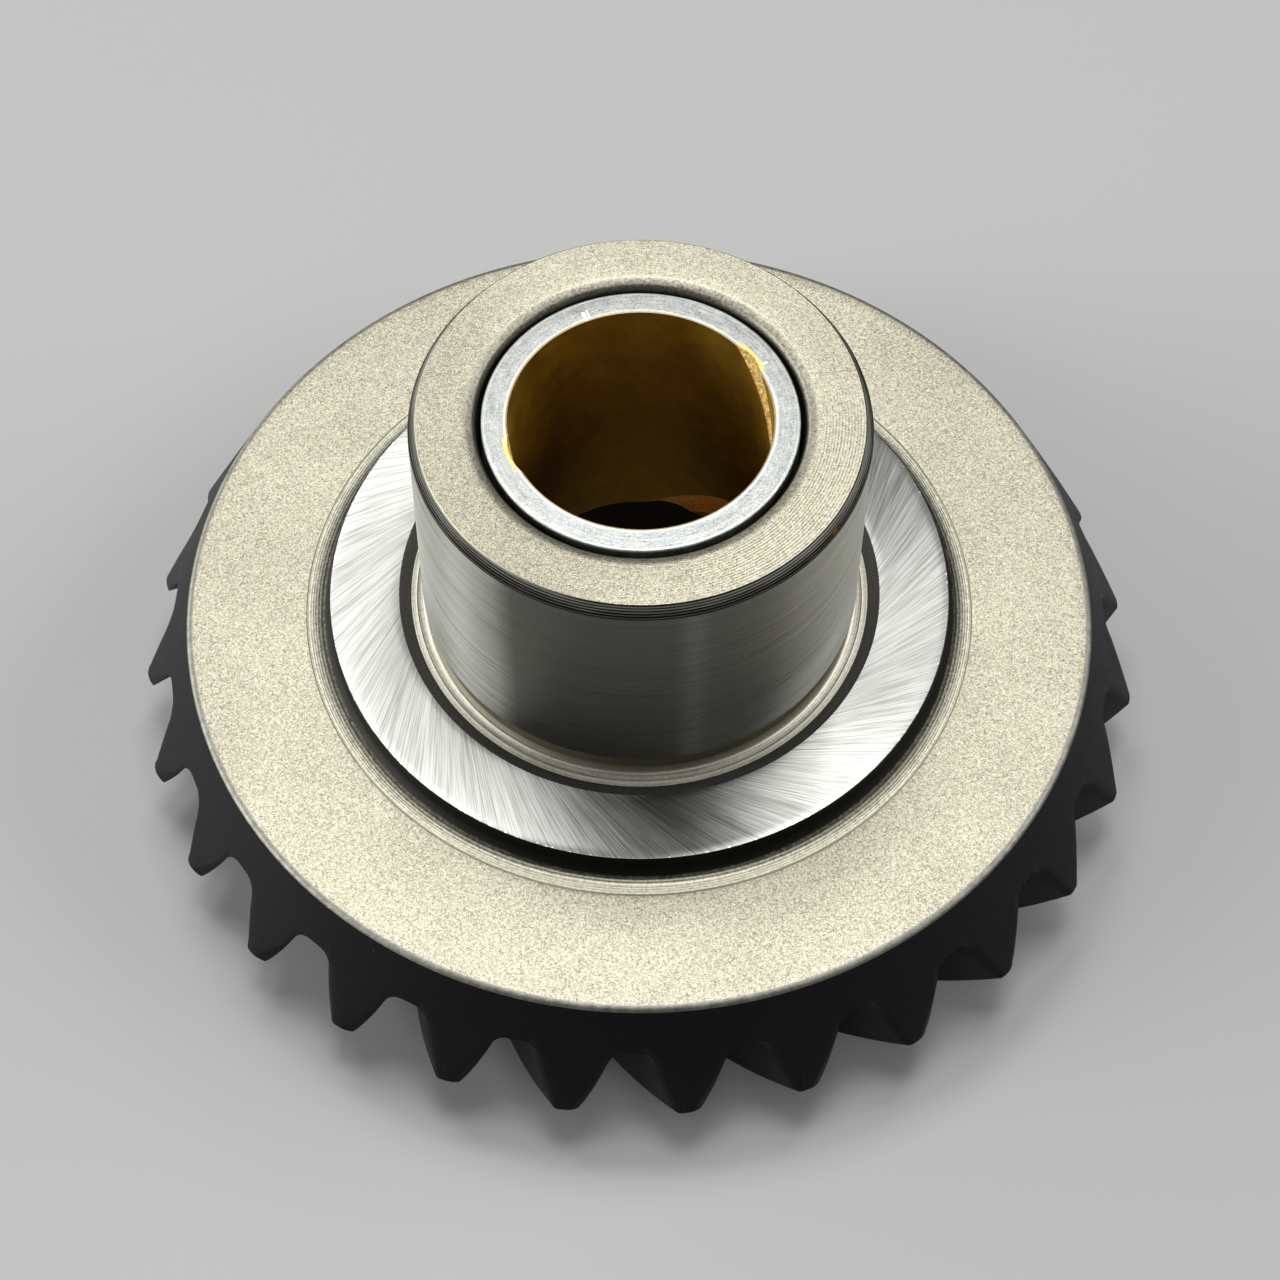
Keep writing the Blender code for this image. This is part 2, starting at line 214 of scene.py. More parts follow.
def heel_edges():
    """The face's outline (side, height), how short the side stops and how full the curve is."""
    face_side, face_height = side.copy(), height.copy()
    short = np.full(PER_TOOTH, SMALL_BREAK)
    full = np.full(PER_TOOTH, 1.0)
    on_tip = height > ADDENDUM - TIP_CORNER * 1.01
    blunt = (side < 0) & ~on_tip
    strength = ramp(height, -DEDENDUM + 0.3 * MM, -DEDENDUM + 1.9 * MM)
    width = SMALL_BREAK + (BLUNT_BREAK - SMALL_BREAK) * strength
    face_side[blunt] = (side + width)[blunt]
    short[blunt] = width[blunt]
    full[blunt] = 0.55
    top_side = -tip_half + BLUNT_BREAK
    top_height = ADDENDUM - TIP_BREAK
    share = (side[on_tip] + tip_half) / (2 * tip_half)
    face_side[on_tip] = top_side + share * TIP_STRIP
    face_height[on_tip] = top_height
    short[on_tip] = TIP_BREAK * (1 - share) + FACET_DEPTH * share
    full[on_tip] = 0.6 - 0.4 * share
    sharp = (side > 0) & ~on_tip & (height > FACET_STARTS_AT)
    start_side = np.interp(FACET_STARTS_AT, height[side > 0][::-1], side[side > 0][::-1])
    down = (top_height - height[sharp]) / (top_height - FACET_STARTS_AT)
    down = np.clip(down, 0, 1)
    strip_side = top_side + TIP_STRIP
    face_side[sharp] = strip_side + (start_side - strip_side) * down
    short[sharp] = SMALL_BREAK + (FACET_DEPTH - SMALL_BREAK) * (1 - down)
    full[sharp] = 0.12
    return face_side / PITCH_RADIUS, face_height, short, full


face_angle, face_height, heel_short, heel_full = heel_edges()
print("facet reaches", round(FACET_DEPTH / MM, 2), "mm down the tooth")

# %% [markdown]
# The skin is a stack of rings, each a closed loop of points round the axis, with faces between
# neighbours. Rings that follow the teeth have many points. The turned surfaces need a quarter of
# them, and a flat ring of wider faces joins the two.

# %% Helpers for rings
COARSE = COLUMNS // 4
LAND_BANDS = 8
LAND_NAMES = [f"ground_land_{band}" for band in range(LAND_BANDS)]
FINISHES = [
    "blackened",
    "blasted",
    "ground_hub",
    "turned",
    "turned_dark",
    "undercut",
    "hub_lead",
    "bore_mouth",
    "cove",
    "groove_line",
    "burnished",
    *LAND_NAMES,
]


class Skin:
    """Points and faces of one closed surface, ring by ring."""

    def __init__(self):
        self.points = []
        self.faces = []
        self.finishes = []
        self.count = 0
        self.last = None

    def ring(self, points, finish):
        """Adds a ring of points, joined to the ring before with faces of one finish."""
        start = self.count
        self.points.append(points)
        self.count += len(points)
        here = np.arange(start, start + len(points))
        if self.last is not None:
            self.join(self.last, here, finish)
        self.last = here
        return here

    def join(self, first, second, finish):
        """Faces between two rings, of which one may have a whole number of times more points."""
        a, b = len(first), len(second)
        small = min(a, b)
        for i in range(small):
            j = (i + 1) % small
            if a == b:
                face = [first[i], first[j], second[j], second[i]]
            elif a > b:
                step = a // b
                fan = [first[(i * step + k) % a] for k in range(step + 1)]
                face = fan + [second[j], second[i]]
            else:
                step = b // a
                fan = [second[(i * step + k) % b] for k in range(step, -1, -1)]
                face = [first[i], first[j]] + fan
            self.faces.append([int(v) for v in face])
            self.finishes.append(finish)

    def mesh(self, name, materials):
        mesh = bpy.data.meshes.new(name)
        for material in materials:
            mesh.materials.append(bpy.data.materials.new(material))
        mesh.from_pydata(np.concatenate(self.points).tolist(), [], self.faces)
        mesh.polygons.foreach_set("material_index", self.finishes)
        mesh.update()
        return mesh


def circle(radius, z, columns, turned=0.0):
    """A level ring of evenly spaced points, which starts where the first tooth does."""
    angle = FIRST_TOOTH + outline[0, 0] + turned + np.arange(columns) * math.tau / columns
    return np.stack([radius * np.cos(angle), radius * np.sin(angle), np.full(columns, z)], 1)


def tooth_ring(angle, height, distance):
    """A ring through every tooth, from one tooth's angles, heights and distances."""
    size = distance / HEEL
    radius, z = cone_point(distance, height * size)
    turns = FIRST_TOOTH + np.arange(TEETH)[:, None] * math.tau / TEETH
    turn = (turns + (angle - spiral_lag(distance))[None, :]).ravel()
    radius = np.tile(radius, TEETH)
    return np.stack([radius * np.cos(turn), radius * np.sin(turn), np.tile(z, TEETH)], 1)


def between(first, second, steps):
    """Rings at equal steps between two, without the two themselves."""
    return [first + (second - first) * i / steps for i in range(1, steps)]


print(len(FINISHES), "finishes on the gear")

# %% [markdown]
# Turned surfaces come from one profile, listed as corners with a radius on each. The function
# below puts an arc on each corner, so that every edge catches the light as a real one does.

# %% Profile with rounded corners
ARC_STEP = math.radians(22)


def rounded(corners):
    """(radius, z, finish) points from (radius, z, rounding, finish) corners, all in millimetres.

    The finish of a corner belongs to the stretch that leads up to it.
    """
    points = []
    for i, (r, z, rounding, finish) in enumerate(corners):
        if rounding == 0 or i in (0, len(corners) - 1):
            points.append((r, z, finish))
            continue
        here = Vector((r, z))
        back = Vector(corners[i - 1][:2]) - here
        ahead = Vector(corners[i + 1][:2]) - here
        bend = math.pi - back.angle(ahead)
        reach = min(rounding * math.tan(bend / 2), back.length * 0.49, ahead.length * 0.49)
        first = here + back.normalized() * reach
        last = here + ahead.normalized() * reach
        steps = max(2, math.ceil(bend / ARC_STEP))
        for k in range(steps + 1):
            t = k / steps
            at = first * (1 - t) ** 2 + here * 2 * t * (1 - t) + last * t**2
            points.append((at.x, at.y, finish if k <= steps // 2 else corners[i + 1][3]))
    return points


def ridged(start, end, ridges, depth, finish):
    """Points of a stretch that a turning tool left in shallow ridges."""
    along = Vector(end) - Vector(start)
    out = Vector((-along.y, along.x)).normalized()
    points = []
    for i in range(ridges * 4 + 1):
        t = i / (ridges * 4)
        swell = depth * (0.5 - 0.5 * math.cos(math.tau * ridges * t))
        at = Vector(start) + along * t - out * swell
        points.append((at.x, at.y, 0, finish))
    return points


rim = RIM_FACE_Z / MM
RECESS_FLOOR = rim - 9.0
LAND_OUTER, LAND_INNER = 25.06, 19.48
land_radii = np.linspace(LAND_OUTER, LAND_INNER, LAND_BANDS + 1)
land_edges = [(r, rim + 2.12, 0, name) for r, name in zip(land_radii, [None, *LAND_NAMES])]
turned_profile = rounded(
    [
        (35.2, rim, 0, "blasted"),
        (27.6, rim, 0, "blasted"),
        (27.17, rim, 0.02, "blasted"),
        (27.1, rim - 0.05, 0.02, "groove_line"),
        (27.03, rim, 0.02, "groove_line"),
        (26.3, rim + 0.03, 0.4, "cove"),
        (25.66, rim + 0.24, 0.6, "cove"),
        (25.2, rim + 0.75, 0.6, "cove"),
        (LAND_OUTER, rim + 1.4, 0.5, "cove"),
        (LAND_OUTER, rim + 2.12, 0.05, "cove"),
        *land_edges[1:-1],
        (LAND_INNER, rim + 2.12, 0.05, LAND_NAMES[-1]),
        (18.5, rim + 1.76, 0.12, "turned_dark"),
        (18.14, rim + 1.84, 0.05, "turned"),
        (18.04, rim + 1.84, 0.05, "turned"),
        (17.96, rim + 1.76, 0.03, "turned"),
        (17.7, rim + 1.85, 0.1, "turned"),
        (17.48, rim + 1.99, 0.12, "turned"),
        (17.3, rim + 2.0, 0.1, "turned"),
        (17.0, rim + 2.35, 0.3, "undercut"),
        (17.0, rim + 3.75, 0.4, "undercut"),
        (17.5, rim + 4.3, 0.1, "undercut"),
        (17.5, rim + 14.0, 0, "ground_hub"),
        (17.5, rim + 24.2, 0.1, "ground_hub"),
        *ridged((17.46, rim + 24.36), (16.93, rim + 25.22), 5, 0.05, "hub_lead"),
        (16.86, rim + 25.36, 0.08, "hub_lead"),
        (14.8, rim + 25.36, 0, "blasted"),
        (13.3, rim + 25.36, 0.8, "blasted"),
        (12.66, rim + 25.08, 0.3, "bore_mouth"),
        (12.3, rim + 24.5, 0.4, "bore_mouth"),
        (12.3, rim - 0.81, 0.05, "turned_dark"),
        (13.6, rim - 0.81, 0.05, "turned_dark"),
        (13.6, 0.3, 0.3, "turned_dark"),
        (13.9, 0.0, 0.2, "blackened"),
        (22.1, 0.0, 0.2, "blackened"),
        (22.4, 0.3, 0.3, "blackened"),
        (22.4, RECESS_FLOOR, 0.8, "blackened"),
        (25.8, RECESS_FLOOR, 0, "blackened"),
    ]
)
print(len(turned_profile), "rings on the turned surfaces")

# %% [markdown]
# Now the rings are stacked, from the floor of the recess under the gear, out along the teeth, up
# over the outer face and the rim, down through the bore, and back to where they began.

# %% Stack the rings into one skin
TOOTH_ROWS = 16
EDGE_ROWS = 4
FACE_ROWS = 4
TOE_BREAK = 0.3 * MM
finish_number = {name: i for i, name in enumerate(FINISHES)}
skin = Skin()
black = finish_number["blackened"]
toe_turn = -float(spiral_lag(TOE))
toe_full_height = TOE / HEEL

recess_corner = circle(26.652 * MM, RECESS_FLOOR * MM, COLUMNS, toe_turn)
recess_floor = circle(25.9 * MM, RECESS_FLOOR * MM, COLUMNS, toe_turn)
first_ring = skin.ring(recess_floor, black)
skin.ring(recess_corner, black)


def pulled_in(points_side, points_height, by):
    """The outline moved into the tooth by about the same width all round."""
    towards = np.clip(points_side / tip_half, -1, 1)
    return points_side - towards * by, points_height - by * ramp(points_height, -3 * MM, 1 * MM)


toe_side, toe_height = pulled_in(side, height, TOE_BREAK / toe_full_height)
toe_face = tooth_ring(toe_side / PITCH_RADIUS, toe_height, np.full(PER_TOOTH, TOE))
for points in between(recess_corner, toe_face, 3):
    skin.ring(points, black)
skin.ring(toe_face, black)
for row in range(1, EDGE_ROWS):
    t = row / EDGE_ROWS
    at_side = (1 - t) ** 2 * toe_side + 2 * t * (1 - t) * side + t**2 * side
    at_height = (1 - t) ** 2 * toe_height + 2 * t * (1 - t) * height + t**2 * height
    distance = np.full(PER_TOOTH, TOE + t**2 * TOE_BREAK)
    skin.ring(tooth_ring(at_side / PITCH_RADIUS, at_height, distance), black)
for row in range(TOOTH_ROWS + 1):
    t = row / TOOTH_ROWS
    distance = (TOE + TOE_BREAK) * (1 - t) + (HEEL - heel_short) * t
    skin.ring(tooth_ring(outline[:, 0], height, distance), black)
for row in range(1, EDGE_ROWS + 1):
    t = row / EDGE_ROWS
    mid_angle = heel_full * outline[:, 0] + (1 - heel_full) * (outline[:, 0] + face_angle) / 2
    mid_height = heel_full * height + (1 - heel_full) * (height + face_height) / 2
    mid_short = (1 - heel_full) * heel_short / 2
    at_angle = (1 - t) ** 2 * outline[:, 0] + 2 * t * (1 - t) * mid_angle + t**2 * face_angle
    at_height = (1 - t) ** 2 * height + 2 * t * (1 - t) * mid_height + t**2 * face_height
    at_short = (1 - t) ** 2 * heel_short + 2 * t * (1 - t) * mid_short
    last_ring_points = tooth_ring(at_angle, at_height, HEEL - at_short)
    # the broken edges take the lighter finish, a painted sheen
    skin.ring(last_ring_points, finish_number["burnished"])
print("rings so far reach the outer face:", skin.count, "points")

# %% Outer face, rim edge and the turned surfaces
rim_edge = [
    (36.9, rim - 0.32),
    (36.843, rim - 0.2),
    (36.74, rim - 0.1),
    (36.58, rim - 0.035),
    (36.343, rim),
]
top_of_face = circle(rim_edge[0][0] * MM, rim_edge[0][1] * MM, COLUMNS)
for points in between(last_ring_points, top_of_face, FACE_ROWS):
    skin.ring(points, black)
skin.ring(top_of_face, black)
for radius, z in rim_edge[1:]:
    skin.ring(circle(radius * MM, z * MM, COLUMNS), finish_number["blasted"])
skin.ring(circle(35.6 * MM, RIM_FACE_Z, COLUMNS), finish_number["blasted"])
for radius, z, finish in turned_profile:
    skin.ring(circle(radius * MM, z * MM, COARSE), finish_number[finish])
shift = round(toe_turn / (math.tau / COLUMNS))
skin.join(skin.last, np.roll(first_ring, shift), black)
gear_mesh = skin.mesh("gear_finished", FINISHES)
gear = bpy.data.objects.new("gear_finished", gear_mesh)
scene.collection.objects.link(gear)
print(len(gear_mesh.polygons), "faces on the gear")

# %% [markdown]
# The clutch jaws hide under the gear. They are what is left between six slots, so the slots are
# cut as they would be milled: one block each, a little wider at the floor, with a flare at the
# mouth that leaves a broken edge on the jaws.

# %% Slots between the clutch jaws
JAWS = 6
SLOT_HALF = 5.75
SLOT_FLOOR = rim - 9.6
SLOT_LEAN = math.tan(math.radians(4))
SLOT_FLARE = 0.3
SLOT_FROM, SLOT_TO = 12.1, 23.9


def placed(name, shape):
    """An object in the scene made from a shape under construction, which is then freed."""
    mesh = bpy.data.meshes.new(name)
    shape.to_mesh(mesh)
    shape.free()
    made = bpy.data.objects.new(name, mesh)
    scene.collection.objects.link(made)
    return made


def apply_modifiers(thing):
    """Swaps an object's mesh for what its modifiers make of it."""
    graph = bpy.context.evaluated_depsgraph_get()
    made = bpy.data.meshes.new_from_object(thing.evaluated_get(graph))
    thing.modifiers.clear()
    thing.data = made


def cut_away(thing, tool, finish):
    """Takes the tool's solid away from the object, leaves a finish there and removes the tool."""
    tool.data.materials.append(bpy.data.materials[finish])
    modifier = thing.modifiers.new("cut", "BOOLEAN")
    modifier.operation = "DIFFERENCE"
    modifier.solver = "EXACT"
    modifier.material_mode = "TRANSFER"
    modifier.object = tool
    apply_modifiers(thing)
    bpy.data.objects.remove(tool)


def slot_tool():
    """Six blocks in one mesh, each reaching a little below the jaws' ends."""
    mouth = SLOT_HALF + SLOT_FLARE
    floor_half = SLOT_HALF + SLOT_FLOOR * SLOT_LEAN
    edge = [(mouth, -1.5), (mouth, 0.0), (SLOT_HALF + 0.02, SLOT_FLARE), (floor_half, SLOT_FLOOR)]
    section = edge + [(-across, z) for across, z in reversed(edge)]
    shape = bmesh.new()
    for jaw in range(JAWS):
        turn = Matrix.Rotation(math.tau * jaw / JAWS, 3, "Z")
        inner, outer = [
            [shape.verts.new(turn @ Vector((reach, across, z)) * MM) for across, z in section]
            for reach in (SLOT_FROM, SLOT_TO)
        ]
        shape.faces.new(inner)
        shape.faces.new(list(reversed(outer)))
        for i in range(len(section)):
            j = (i + 1) % len(section)
            shape.faces.new([inner[j], inner[i], outer[i], outer[j]])
    bmesh.ops.recalc_face_normals(shape, faces=shape.faces)
    return placed("slot_tool", shape)


cut_away(gear, slot_tool(), "blackened")
print(len(gear.data.polygons), "faces after the slots are cut")

# %% [markdown]
# The bush is a steel tube with a thin bronze lining. It is turned, pressed in and bored, so its
# end shows fine rings and its inner edge is almost sharp. Two shallow oil grooves of opposite
# hand cross in the bore. Each is cut by a round bar bent along a helix.

# %% Turn the bush
HUB_TOP = rim + 25.36
BUSH_COLUMNS = 240
BUSH_TOP = 40.142
BUSH_LENGTH = 25.4
BUSH_LOW = BUSH_TOP - BUSH_LENGTH
BORE = 10.0
BUSH_OUTSIDE = 12.0
LINING = 0.14
BUSH_MIDDLE = 27.0
bush_corners = [
    (BORE, BUSH_MIDDLE, 0, "bush_bronze"),
    (BORE, BUSH_TOP, 0.1, "bush_bronze"),
    (BORE + LINING, BUSH_TOP, 0, "bush_bronze"),
    (BUSH_OUTSIDE, BUSH_TOP, 0.22, "bush_back"),
    (BUSH_OUTSIDE, BUSH_LOW, 0.22, "bush_back"),
    (BORE + LINING, BUSH_LOW, 0, "bush_back"),
    (BORE, BUSH_LOW, 0.1, "bush_bronze"),
    (BORE, BUSH_MIDDLE, 0, "bush_bronze"),
]
bush_skin = Skin()
BUSH_FINISHES = ["bush_bronze", "bush_back", "bush_groove"]
bush_rings = rounded(bush_corners)[:-1]
for radius, z, finish in bush_rings:
    bush_skin.ring(circle(radius * MM, z * MM, BUSH_COLUMNS), BUSH_FINISHES.index(finish))
bush_skin.join(bush_skin.last, np.arange(BUSH_COLUMNS), 0)
bush = bpy.data.objects.new("bush_finished", bush_skin.mesh("bush_finished", BUSH_FINISHES))
scene.collection.objects.link(bush)
print(len(bush.data.polygons), "faces on the bush")

# %% Mill the oil grooves
GROOVE_WIDTH = 2.0
GROOVE_DEPTH = 0.32
GROOVE_OVERRUN = 2.0
GROOVES = [(math.radians(34.7), math.radians(170)), (math.radians(199.5), math.radians(-237))]
HELIX_STEPS = 120
BAR_SIDES = 48


def groove_tool(mouth, sweep):
    """A bar along a helix whose outer side stands out of the bore by the groove's depth."""
    bar = ((GROOVE_WIDTH / 2) ** 2 + GROOVE_DEPTH**2) / (2 * GROOVE_DEPTH)
    path = BORE + GROOVE_DEPTH - bar
    twist = sweep / BUSH_LENGTH
    shape = bmesh.new()
    rings = []
    for i in range(HELIX_STEPS + 1):
        z = BUSH_LOW - GROOVE_OVERRUN + (BUSH_LENGTH + 2 * GROOVE_OVERRUN) * i / HELIX_STEPS
        turn = mouth - twist * (BUSH_TOP - z)
        out = Vector((math.cos(turn), math.sin(turn), 0))
        middle = out * path + Vector((0, 0, z))
        along = Vector((-out.y * path * twist, out.x * path * twist, 1)).normalized()
        across = along.cross(out)
        ring = [
            shape.verts.new((middle + (out * math.cos(a) + across * math.sin(a)) * bar) * MM)
            for a in [math.tau * k / BAR_SIDES for k in range(BAR_SIDES)]
        ]
        rings.append(ring)
    for first, second in zip(rings, rings[1:]):
        for k in range(BAR_SIDES):
            m = (k + 1) % BAR_SIDES
            shape.faces.new([first[k], first[m], second[m], second[k]])
    shape.faces.new(list(reversed(rings[0])))
    shape.faces.new(rings[-1])
    bmesh.ops.recalc_face_normals(shape, faces=shape.faces)
    return placed("groove_tool", shape)


for mouth, sweep in GROOVES:
    cut_away(bush, groove_tool(mouth, sweep), "bush_groove")
print(len(bush.data.polygons), "faces after the grooves are milled")

# %% [markdown]
# Smooth shading blends the light over the small faces, and a weighted normal keeps the flats flat
# right up to their rounded edges.

# %% Smooth shading
for thing in (gear, bush):
    thing.data.shade_smooth()
    thing.data.set_sharp_from_angle(angle=math.radians(35))
    weighted = thing.modifiers.new("weighted", "WEIGHTED_NORMAL")
    weighted.keep_sharp = True
    weighted.weight = 60
print("shaded smooth")

# %% [markdown]
# Each finish is a small tree of nodes that works out a colour, a roughness and a height for every
# point. Writing the arithmetic as Python keeps it readable: the class below wraps a socket, and
# the usual signs make the Math nodes.

# %% Numbers that Python's signs work on
class Value:
    """A number in a node tree that Python's signs work on."""

    def __init__(self, tree, socket):
        self.tree = tree
        self.socket = socket

    def math(self, operation, *values, clamp=False):
        node = self.tree.nodes.new("ShaderNodeMath")
        node.operation = operation
        node.use_clamp = clamp
        for slot, value in zip(node.inputs, values):
            plug(self.tree, slot, value)
        return Value(self.tree, node.outputs[0])

    def __add__(self, other):
        return self.math("ADD", self, other)

    __radd__ = __add__

    def __sub__(self, other):
        return self.math("SUBTRACT", self, other)

    def __rsub__(self, other):
        return self.math("SUBTRACT", other, self)

    def __mul__(self, other):
        return self.math("MULTIPLY", self, other)

    __rmul__ = __mul__

    def __truediv__(self, other):
        return self.math("DIVIDE", self, other)

    def __rtruediv__(self, other):
        return self.math("DIVIDE", other, self)

    def __pow__(self, other):
        return self.math("POWER", self, other)

    def __neg__(self):
        return self.math("MULTIPLY", self, -1.0)

    def clamped(self):
        return self.math("ADD", self, 0.0, clamp=True)

    def band(self, middle, half, soft):
        """1 within half a width of a middle value, 0 beyond, with soft sides."""
        away = self.math("ABSOLUTE", self - middle)
        return self.math("SUBTRACT", 1.0, (away - half) / soft, clamp=True)

    def above(self, level, soft):
        """0 below a level and 1 above it, with a soft step."""
        return self.math("DIVIDE", self - level + soft / 2, soft, clamp=True)


def plug(tree, slot, value):
    """Links a value or a socket into a slot, or sets the slot to a constant."""
    if isinstance(value, Value):
        value = value.socket
    if isinstance(value, bpy.types.NodeSocket):
        tree.links.new(value, slot)
    else:
        slot.default_value = value


print("signs that make Math nodes: + - * / ** and the helpers clamped, band and above")

# %% [markdown]
# A finish needs to know where on the gear a point lies. The object's own coordinates say so, here
# in millimetres, and from them come the distance from the axis and the turn about it, which suit
# anything that was made on a lathe. All other nodes come from one method, which takes a node's
# type, its settings and what goes into its sockets.

# %% A finish under construction
class Finish:
    """A material under construction, with short ways to add nodes to it."""

    def __init__(self, name, **constants):
        self.material = bpy.data.materials.get(name) or bpy.data.materials.new(name)
        self.material.use_nodes = True
        self.tree = self.material.node_tree
        self.tree.nodes.clear()
        self.shader = self.tree.nodes.new("ShaderNodeBsdfPrincipled")
        for slot, value in constants.items():
            self.shader.inputs[slot.replace("_", " ")].default_value = value
        place = self.node("ShaderNodeTexCoord", output="Object")
        scale = {"operation": "SCALE"}
        self.place = self.node("ShaderNodeVectorMath", scale, {0: place, "Scale": 1 / MM})
        self.x, self.y, self.z = [
            self.node("ShaderNodeSeparateXYZ", None, {0: self.place}, axis) for axis in "XYZ"
        ]
        self.radius = (self.x * self.x + self.y * self.y) ** 0.5
        self.turn = self.x.math("ARCTAN2", self.y, self.x)

    def node(self, kind, settings=None, sockets=None, output=0):
        """A node of a type, with its settings made first, then its sockets set or linked."""
        made = self.tree.nodes.new(kind)
        for name, value in (settings or {}).items():
            setattr(made, name, value)
        for name, value in (sockets or {}).items():
            plug(self.tree, made.inputs[name], value)
        return Value(self.tree, made.outputs[output]) if made.outputs else made

    def combine(self, x, y, z):
        return self.node("ShaderNodeCombineXYZ", None, {"X": x, "Y": y, "Z": z})

    def noise(self, vector, scale, detail=2.0, rough=0.5):
        """Noise about 0, mostly between -1 and 1."""
        made = self.node(
            "ShaderNodeTexNoise",
            {"noise_dimensions": "3D"},
            {"Vector": vector, "Scale": scale, "Detail": detail, "Roughness": rough},
        )
        return (made - 0.5) * 4.0

    def mix(self, factor, first, second):
        """A blend of two colours, at the sockets where a Mix node has them."""
        ends = [end if isinstance(end, Value) else (*end, 1.0) for end in (first, second)]
        sockets = {"Factor": factor, 6: ends[0], 7: ends[1]}
        return self.node("ShaderNodeMix", {"data_type": "RGBA"}, sockets, output=2)

    def around(self, turn, fine, radius, rise):
        """A place on a surface of revolution, stretched as a lathe or a grinder stretches it."""
        cosine = turn.math("COSINE", turn) * fine
        sine = turn.math("SINE", turn) * fine
        return self.combine(cosine, sine, radius + rise)

    def rings(self, pitch):
        """The fine rings of a lathe, -1 to 1, at a pitch in millimetres across the surface."""
        wobble = self.noise(self.around(self.turn, 2.0, self.radius, self.z), 1.0, 1.0, 0.5)
        phase = (self.radius + self.z) * (math.tau / pitch) + wobble * 0.8
        return phase.math("SINE", phase)

    def spot(self, place, size):
        """1 at a place in millimetres and 0 beyond a distance, with a soft uneven edge."""
        away = self.node(
            "ShaderNodeVectorMath",
            {"operation": "DISTANCE"},
            {0: self.place, 1: self.combine(*place)},
            output=1,
        )
        uneven = self.noise(self.place, 3.0, 2.0, 0.5)
        return (1.4 - away / size * 1.4 + uneven * 0.2).clamped()

    def stroke(self, azimuth, radius, reach, width):
        """1 along a short radial line at an azimuth in degrees, with sizes in millimetres."""
        turn = math.radians(azimuth)
        along = self.x * math.cos(turn) + self.y * math.sin(turn)
        across = self.y * math.cos(turn) - self.x * math.sin(turn)
        return along.band(radius, reach, 0.1) * across.band(0.0, width, 0.06)

    def finish(self, colour, roughness, height, depth):
        """Feeds the shader: a colour, a roughness and a height in millimetres."""
        plug(self.tree, self.shader.inputs["Base Color"], colour)
        plug(self.tree, self.shader.inputs["Roughness"], roughness)
        bump = self.node(
            "ShaderNodeBump", None, {"Strength": 1.0, "Distance": depth * MM, "Height": height}
        )
        plug(self.tree, self.shader.inputs["Normal"], bump)
        surface = Value(self.tree, self.shader.outputs[0])
        self.node("ShaderNodeOutputMaterial", None, {"Surface": surface})
        print(self.material.name, "has", len(self.tree.nodes), "nodes")
        return self.material


print("helpers of a finish:", [name for name in vars(Finish) if not name.startswith("_")])

# %% [markdown]
# Grit blasting leaves a dull, even, slightly warm surface: pits a fifth of a millimetre across,
# with darker, paler and yellower grains. The rim and the hub's end have it. On the hub's end the
# rings of the lathe still show through, and at the front right they are painted stronger, a
# painted sheen. The front left of the hub's end is painted a little darker, a painted shade. The
# rim's rounded outer edge is painted darker grey with streaks, a painted shade.

# %% Blasted steel
def blasted_steel():
    f = Finish("blasted", Metallic=1.0)
    grain = f.noise(f.place, 4.8, 2.0, 0.6)
    fine = f.noise(f.place, 10.0, 1.0, 0.6)
    tint = f.noise(f.place, 1.9, 2.0, 0.6)
    cloud = f.noise(f.place, 0.11, 3.0, 0.5)
    rings = f.rings(0.23)
    # painted sheen: the lathe rings on the hub's end are made stronger at the front right
    rings_and_painted_sheen = f.radius.band(15.4, 1.5, 0.5) * (0.12 + f.turn.band(-0.6, 0.4, 0.4) * 0.6)
    # painted shade: the hub's end is made darker at the front left
    front_left = (f.x * -0.766 + f.y * -0.643) / f.radius
    painted_shade_front_left = front_left.above(0.45, 1.1) * f.z.above(39.0, 1.0)
    shade = 0.49 + grain * 0.4 + fine * 0.48 + cloud * 0.08
    shade = shade + rings * rings_and_painted_sheen * 0.36 - painted_shade_front_left * 0.17
    colour = f.mix(shade.clamped(), (0.146, 0.138, 0.102), (0.525, 0.504, 0.402))
    colour = f.mix((tint * 0.33).clamped(), colour, (0.41, 0.365, 0.225))
    # painted shade: the rim's rounded outer edge is made darker, with streaks
    edge = f.radius.above(36.42, 0.16)
    streak = f.noise(f.around(f.turn, 60.0, f.radius * 3.0, f.z * 3.0), 1.0, 2.0, 0.6)
    painted_edge_tone = f.mix((0.5 + streak * 0.4).clamped(), (0.09, 0.09, 0.08), (0.27, 0.265, 0.235))
    colour = f.mix(edge * 0.85, colour, painted_edge_tone)
    height = grain * 0.5 + fine * 0.3 + rings * rings_and_painted_sheen * 0.6
    return f.finish(colour, 0.53 + grain * 0.05, height, 0.009)


blasted_steel()

# %% [markdown]
# The land was ground by the edge of a cup wheel. Its grit left straight scratches, and each one
# is tangent to the same circle inside the land. Their direction, not their colour, makes some
# sectors flash and others go dark. The shader can turn its highlight by one angle only, so the
# land is cut into narrow bands, each with the angle that the scratches have there. Tiny chips
# shine along its outer edge.

# %% Ground land
SCRATCH_CIRCLE = 15.8


